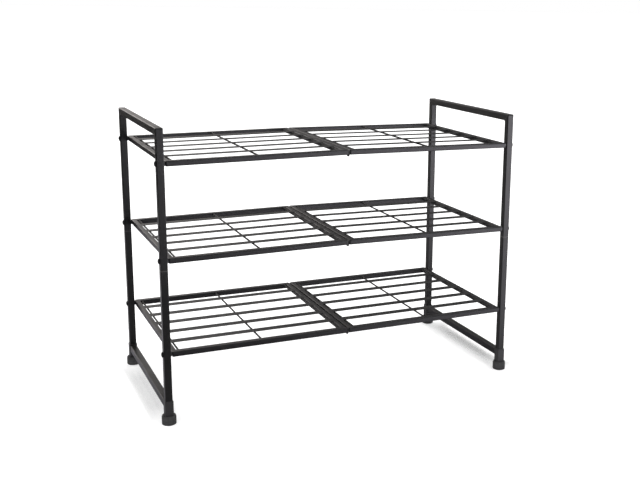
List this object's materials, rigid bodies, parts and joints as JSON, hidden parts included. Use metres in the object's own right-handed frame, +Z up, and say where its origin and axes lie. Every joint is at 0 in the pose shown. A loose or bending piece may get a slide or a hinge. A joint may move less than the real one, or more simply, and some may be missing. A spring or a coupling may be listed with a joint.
{
  "type": "tiered shoe rack",
  "caption": "Open tiered shoe rack in black square steel tube, with slatted metal half-shelves bolted between handled side frames on round rubber feet.",
  "frame": {"origin": "on the floor under the middle of the rack, midway between the four feet", "axes": "+X along the rack's length to the right as seen from the front, +Y to the rear, +Z up"},
  "size_m": [0.7502, 0.3692, 0.5588],
  "materials": {
    "frame_paint": "satin black powder coat",
    "shelf_paint": "satin black powder coat, slightly lighter where it catches the light",
    "foot_rubber": "matte dark moulded rubber",
    "bolt_black": "black coated steel screw",
    "washer_plastic": "dark moulded plastic",
    "clip_plastic": "black moulded plastic"
  },
  "bodies": {
    "root": {"base_frame_left": "frame_paint", "base_frame_right": "frame_paint", "bolt_bottom_front_left": "bolt_black", "bolt_bottom_front_right": "bolt_black", "bolt_bottom_rear_left": "bolt_black", "bolt_bottom_rear_right": "bolt_black", "bolt_middle_front_left": "bolt_black", "bolt_middle_front_right": "bolt_black", "bolt_middle_rear_left": "bolt_black", "bolt_middle_rear_right": "bolt_black", "bolt_top_front_left": "bolt_black", "bolt_top_front_right": "bolt_black", "bolt_top_rear_left": "bolt_black", "bolt_top_rear_right": "bolt_black", "centre_clip_bottom_front": "clip_plastic", "centre_clip_bottom_rear": "clip_plastic", "centre_clip_middle_front": "clip_plastic", "centre_clip_middle_rear": "clip_plastic", "centre_clip_top_front": "clip_plastic", "centre_clip_top_rear": "clip_plastic", "foot_front_left": "foot_rubber", "foot_front_right": "foot_rubber", "foot_rear_left": "foot_rubber", "foot_rear_right": "foot_rubber", "lower_post_front_left": "frame_paint", "lower_post_front_right": "frame_paint", "lower_post_rear_left": "frame_paint", "lower_post_rear_right": "frame_paint", "shelf_bottom_left": "shelf_paint", "shelf_bottom_right": "shelf_paint", "shelf_middle_left": "shelf_paint", "shelf_middle_right": "shelf_paint", "shelf_top_left": "shelf_paint", "shelf_top_right": "shelf_paint", "upper_side_frame_left": "frame_paint", "upper_side_frame_right": "frame_paint", "washer_bottom_front_left": "washer_plastic", "washer_bottom_front_right": "washer_plastic", "washer_bottom_rear_left": "washer_plastic", "washer_bottom_rear_right": "washer_plastic", "washer_middle_front_left": "washer_plastic", "washer_middle_front_right": "washer_plastic", "washer_middle_rear_left": "washer_plastic", "washer_middle_rear_right": "washer_plastic", "washer_top_front_left": "washer_plastic", "washer_top_front_right": "washer_plastic", "washer_top_rear_left": "washer_plastic", "washer_top_rear_right": "washer_plastic"}
  },
  "joints": []
}
